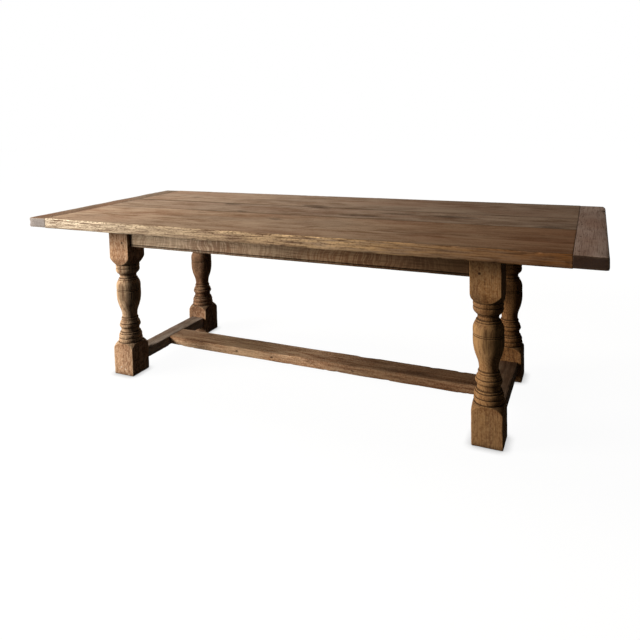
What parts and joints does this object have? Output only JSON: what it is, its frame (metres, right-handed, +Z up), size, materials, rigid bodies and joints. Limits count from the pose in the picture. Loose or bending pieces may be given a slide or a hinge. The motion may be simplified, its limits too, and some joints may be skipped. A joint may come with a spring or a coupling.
{
  "type": "refectory table",
  "caption": "Long oak refectory table: a cleated plank top on turned baluster legs with square blocks, joined by beaded aprons and a low H stretcher.",
  "frame": {"origin": "on the floor, under the middle of the top", "axes": "+X along the table's length, +Y towards its back, +Z up"},
  "size_m": [2.49, 1.02, 0.77],
  "materials": {
    "oak_top": "old waxed oak, worn satin",
    "oak_legs": "old waxed oak, polished on the turnings",
    "oak_frame": "old waxed oak, satin",
    "oak_inner": "bare oak, matt",
    "oak_pegs": "dark oak end grain, flush",
    "steel_screws": "dull steel"
  },
  "bodies": {
    "root": {"top_board_front": "oak_top", "top_board_middle": "oak_top", "top_board_back": "oak_top", "cleat_left": "oak_top", "cleat_right": "oak_top", "leg_front_left": "oak_legs", "leg_front_right": "oak_legs", "leg_back_left": "oak_legs", "leg_back_right": "oak_legs", "apron_front": "oak_frame", "apron_back": "oak_frame", "apron_left": "oak_frame", "apron_right": "oak_frame", "end_stretcher_left": "oak_frame", "end_stretcher_right": "oak_frame", "centre_stretcher": "oak_frame", "middle_bearer": "oak_inner", "top_buttons": "oak_inner", "loose_tongue_front": "oak_inner", "loose_tongue_back": "oak_inner", "cleat_pegs": "oak_pegs", "long_apron_pegs": "oak_pegs", "end_apron_pegs": "oak_pegs", "end_stretcher_pegs": "oak_pegs", "centre_stretcher_pegs": "oak_pegs", "button_screws": "steel_screws"}
  },
  "joints": []
}
